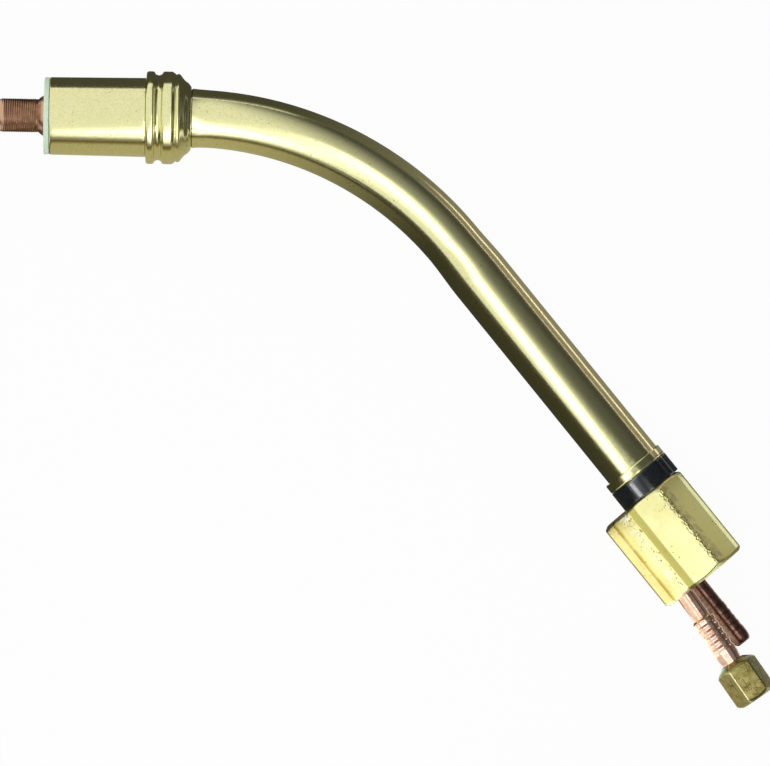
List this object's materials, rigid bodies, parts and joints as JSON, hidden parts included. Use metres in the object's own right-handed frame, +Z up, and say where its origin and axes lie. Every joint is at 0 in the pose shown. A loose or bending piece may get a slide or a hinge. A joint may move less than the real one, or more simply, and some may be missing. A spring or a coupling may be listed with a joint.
{
  "type": "welding torch neck",
  "caption": "Bent brass neck of a water-cooled MIG welding torch, with a copper tip stub, a ribbed collar, an octagonal connector block, copper hose nipples and a captive union nut.",
  "frame": {"origin": "middle of the connector block's lower flat, which the neck lies on", "axes": "+Z is up, square to the plane of the bend; the front end, with the tip stub, points along -X; the rear end, with the hose nipples, points towards +X and -Y, turned 50 degrees from +X"},
  "size_m": [0.2476, 0.1972, 0.03],
  "materials": {
    "copper": "machined copper, lightly tarnished",
    "tube_copper": "drawn copper tube",
    "polished_brass": "polished, slightly mottled",
    "block_brass": "bright drawn bar with worn corners",
    "nut_brass": "dull and scratched",
    "glass_epoxy": "pale green glass-fibre laminate",
    "black_plastic": "glossy black moulding",
    "sleeve_plastic": "plain off-white tube",
    "seal_rubber": "black rubber"
  },
  "bodies": {
    "neck": {"tip_adapter": "copper", "front_insulator": "glass_epoxy", "front_seal": "seal_rubber", "nozzle_seat": "polished_brass", "rib_collar": "polished_brass", "jacket_tube": "polished_brass", "insulating_sleeve": "sleeve_plastic", "core_tube": "tube_copper", "divider_tube": "tube_copper", "conduit_tube": "tube_copper", "tail_ferrule": "polished_brass", "rear_insulator": "black_plastic", "rear_seal": "seal_rubber", "connector_block": "block_brass", "liner_guide": "block_brass", "supply_nipple": "copper", "power_nipple": "copper", "cone_seat": "nut_brass"},
    "nut": {"union_nut": "nut_brass"}
  },
  "joints": [
    {"name": "nut_spin", "type": "hinge", "parent": "neck", "child": "nut", "pos_m": [0.00409, -0.01732, 0.02], "axis": [0.585, -0.8111, 0], "continuous": true}
  ]
}
